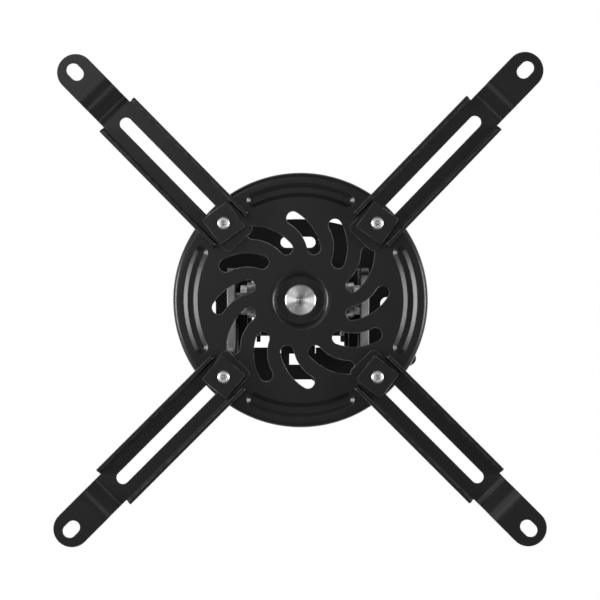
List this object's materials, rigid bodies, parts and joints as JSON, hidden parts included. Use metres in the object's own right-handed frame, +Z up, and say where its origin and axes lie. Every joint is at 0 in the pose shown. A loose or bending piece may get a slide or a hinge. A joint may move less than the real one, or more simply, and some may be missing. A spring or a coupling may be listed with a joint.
{
  "type": "projector ceiling mount",
  "caption": "Ceiling mount for a projector: a pressed disc that tilts and turns under a bracket, with slotted channel arms held by wing-screw clamps.",
  "frame": {"origin": "centre of the ceiling bracket's screw pattern, on its top face", "axes": "+Z up to the ceiling, +X along the tilt axis, the mount hangs to -Z"},
  "size_m": [0.2436, 0.2445, 0.064],
  "materials": {
    "black_coat": "fine satin black powder coat",
    "zinc_steel": "zinc plate",
    "bright_steel": "turned bright steel",
    "black_plastic": "moulded, fine spark texture",
    "pale_nylon": "natural nylon"
  },
  "bodies": {
    "base": {"ceiling_bracket": "black_coat", "ear_angle_right": "black_coat", "tilt_bolt_right": "zinc_steel", "jam_nut_right": "zinc_steel", "tilt_washer_right": "zinc_steel", "lock_nut_right": "zinc_steel", "ear_angle_left": "black_coat", "tilt_bolt_left": "zinc_steel", "jam_nut_left": "zinc_steel", "tilt_washer_left": "zinc_steel", "lock_nut_left": "zinc_steel"},
    "yoke": {"tilt_yoke": "black_coat", "center_rivet": "bright_steel", "rivet_washer": "zinc_steel", "thrust_washer": "pale_nylon"},
    "disc": {"adapter_disc": "black_coat"},
    "front_left_nut": {"nut_plate_front_left": "black_coat"},
    "front_left_arm": {"arm_front_left": "black_coat"},
    "front_left_wing": {"clamp_screw_front_left": "bright_steel", "clamp_washer_front_left": "zinc_steel", "wing_head_front_left": "black_plastic"},
    "front_right_nut": {"nut_plate_front_right": "black_coat"},
    "front_right_arm": {"arm_front_right": "black_coat"},
    "front_right_wing": {"clamp_screw_front_right": "bright_steel", "clamp_washer_front_right": "zinc_steel", "wing_head_front_right": "black_plastic"},
    "back_right_nut": {"nut_plate_back_right": "black_coat"},
    "back_right_arm": {"arm_back_right": "black_coat"},
    "back_right_wing": {"clamp_screw_back_right": "bright_steel", "clamp_washer_back_right": "zinc_steel", "wing_head_back_right": "black_plastic"},
    "back_left_nut": {"nut_plate_back_left": "black_coat"},
    "back_left_arm": {"arm_back_left": "black_coat"},
    "back_left_wing": {"clamp_screw_back_left": "bright_steel", "clamp_washer_back_left": "zinc_steel", "wing_head_back_left": "black_plastic"}
  },
  "joints": [
    {"name": "tilt", "type": "hinge", "parent": "base", "child": "yoke", "pos_m": [0, 0, -0.021], "axis": [1, 0, 0], "range_deg": [-15, 15]},
    {"name": "spin", "type": "hinge", "parent": "yoke", "child": "disc", "pos_m": [0, 0, -0.0515], "axis": [0, 0, 1], "continuous": true},
    {"name": "front_left_swivel", "type": "hinge", "parent": "disc", "child": "front_left_nut", "pos_m": [-0.03811, -0.03811, -0.054], "axis": [0, 0, 1], "range_deg": [-45, 45]},
    {"name": "front_left_slide", "type": "slide", "parent": "front_left_nut", "child": "front_left_arm", "axis": [0.7009, 0.7133, 0], "range_m": [-0.0017, 0.0223]},
    {"name": "front_left_wing_turn", "type": "hinge", "parent": "disc", "child": "front_left_wing", "pos_m": [-0.03811, -0.03811, -0.054], "axis": [0, 0, 1], "range_deg": [0, 270]},
    {"name": "front_right_swivel", "type": "hinge", "parent": "disc", "child": "front_right_nut", "pos_m": [0.03811, -0.03811, -0.054], "axis": [0, 0, 1], "range_deg": [-45, 45]},
    {"name": "front_right_slide", "type": "slide", "parent": "front_right_nut", "child": "front_right_arm", "axis": [-0.6947, 0.7193, 0], "range_m": [-0.0011, 0.0229]},
    {"name": "front_right_wing_turn", "type": "hinge", "parent": "disc", "child": "front_right_wing", "pos_m": [0.03811, -0.03811, -0.054], "axis": [0, 0, 1], "range_deg": [0, 270]},
    {"name": "back_right_swivel", "type": "hinge", "parent": "disc", "child": "back_right_nut", "pos_m": [0.03811, 0.03811, -0.054], "axis": [0, 0, 1], "range_deg": [-45, 45]},
    {"name": "back_right_slide", "type": "slide", "parent": "back_right_nut", "child": "back_right_arm", "axis": [-0.7071, -0.7071, 0], "range_m": [-0.0006, 0.0234]},
    {"name": "back_right_wing_turn", "type": "hinge", "parent": "disc", "child": "back_right_wing", "pos_m": [0.03811, 0.03811, -0.054], "axis": [0, 0, 1], "range_deg": [0, 270]},
    {"name": "back_left_swivel", "type": "hinge", "parent": "disc", "child": "back_left_nut", "pos_m": [-0.03811, 0.03811, -0.054], "axis": [0, 0, 1], "range_deg": [-45, 45]},
    {"name": "back_left_slide", "type": "slide", "parent": "back_left_nut", "child": "back_left_arm", "axis": [0.7071, -0.7071, 0], "range_m": [0, 0.024]},
    {"name": "back_left_wing_turn", "type": "hinge", "parent": "disc", "child": "back_left_wing", "pos_m": [-0.03811, 0.03811, -0.054], "axis": [0, 0, 1], "range_deg": [0, 270]}
  ]
}
